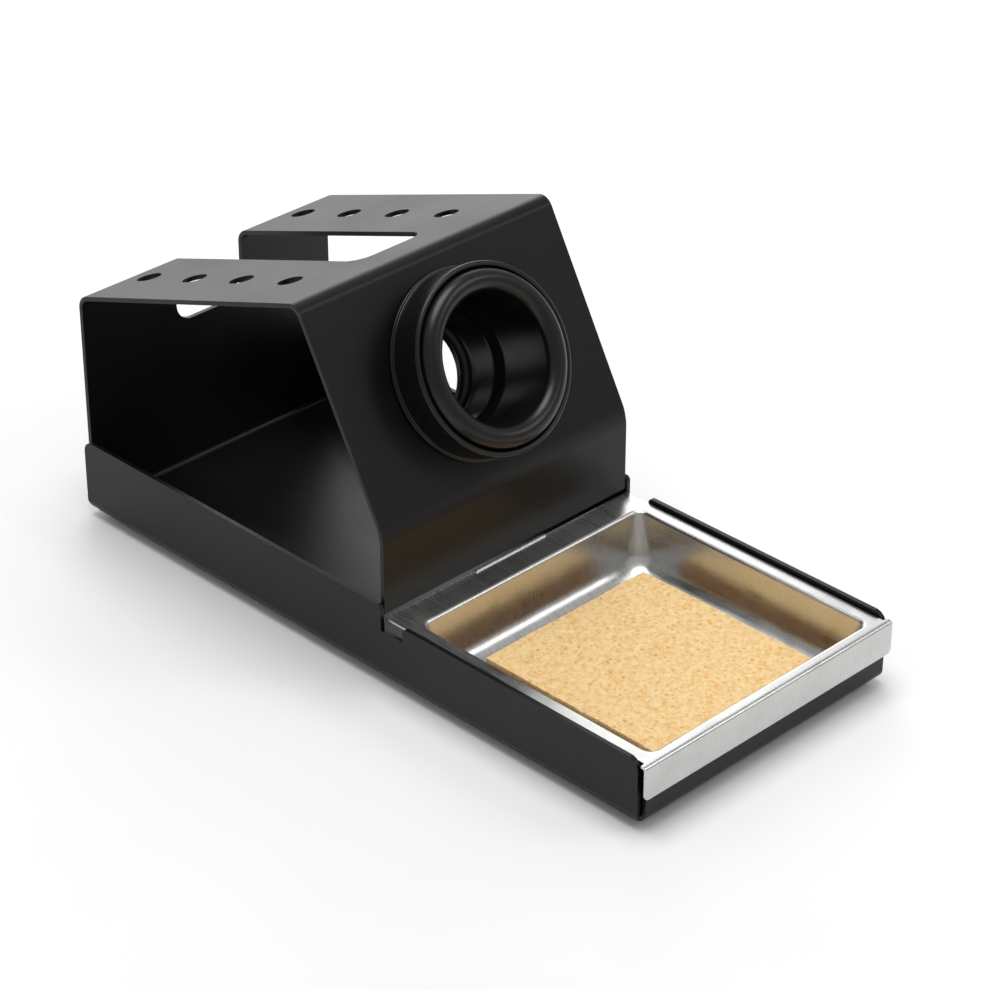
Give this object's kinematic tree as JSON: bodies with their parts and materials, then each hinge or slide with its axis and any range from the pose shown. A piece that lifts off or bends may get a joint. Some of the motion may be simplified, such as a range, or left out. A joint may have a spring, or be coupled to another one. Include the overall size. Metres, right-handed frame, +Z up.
{
  "type": "soldering iron stand",
  "caption": "Bench stand for a soldering iron: folded black steel body with a sloping face and iron collar, holes for spare tips, and a lift-out steel tray with a sponge.",
  "frame": {"origin": "middle of the stand's footprint, on the bench", "axes": "+Z up; -Y towards the front, where the sponge tray is; +Y towards the back wall; +X to the right as seen from the front"},
  "size_m": [0.088, 0.201, 0.093],
  "materials": {
    "powder_coated_steel": "fine matt-satin powder coat",
    "black_phenolic": "satin moulded",
    "stainless_steel": "bright drawn",
    "cellulose_sponge": "open-pored cellulose",
    "black_rubber": "matt"
  },
  "bodies": {
    "stand": {"folded_body": "powder_coated_steel", "collar_bezel": "black_phenolic", "collar_insert": "black_phenolic", "collar_lock_ring": "black_phenolic", "foot_front_left": "black_rubber", "foot_front_right": "black_rubber", "foot_rear_left": "black_rubber", "foot_rear_right": "black_rubber"},
    "tray": {"sponge_tray": "stainless_steel"},
    "sponge": {"sponge": "cellulose_sponge"}
  },
  "joints": [
    {"name": "tray_lift", "type": "slide", "parent": "stand", "child": "tray", "axis": [0, 0, 1], "range_m": [0, 0.025]},
    {"name": "sponge_lift", "type": "slide", "parent": "tray", "child": "sponge", "axis": [0, 0, 1], "range_m": [0, 0.015]}
  ]
}
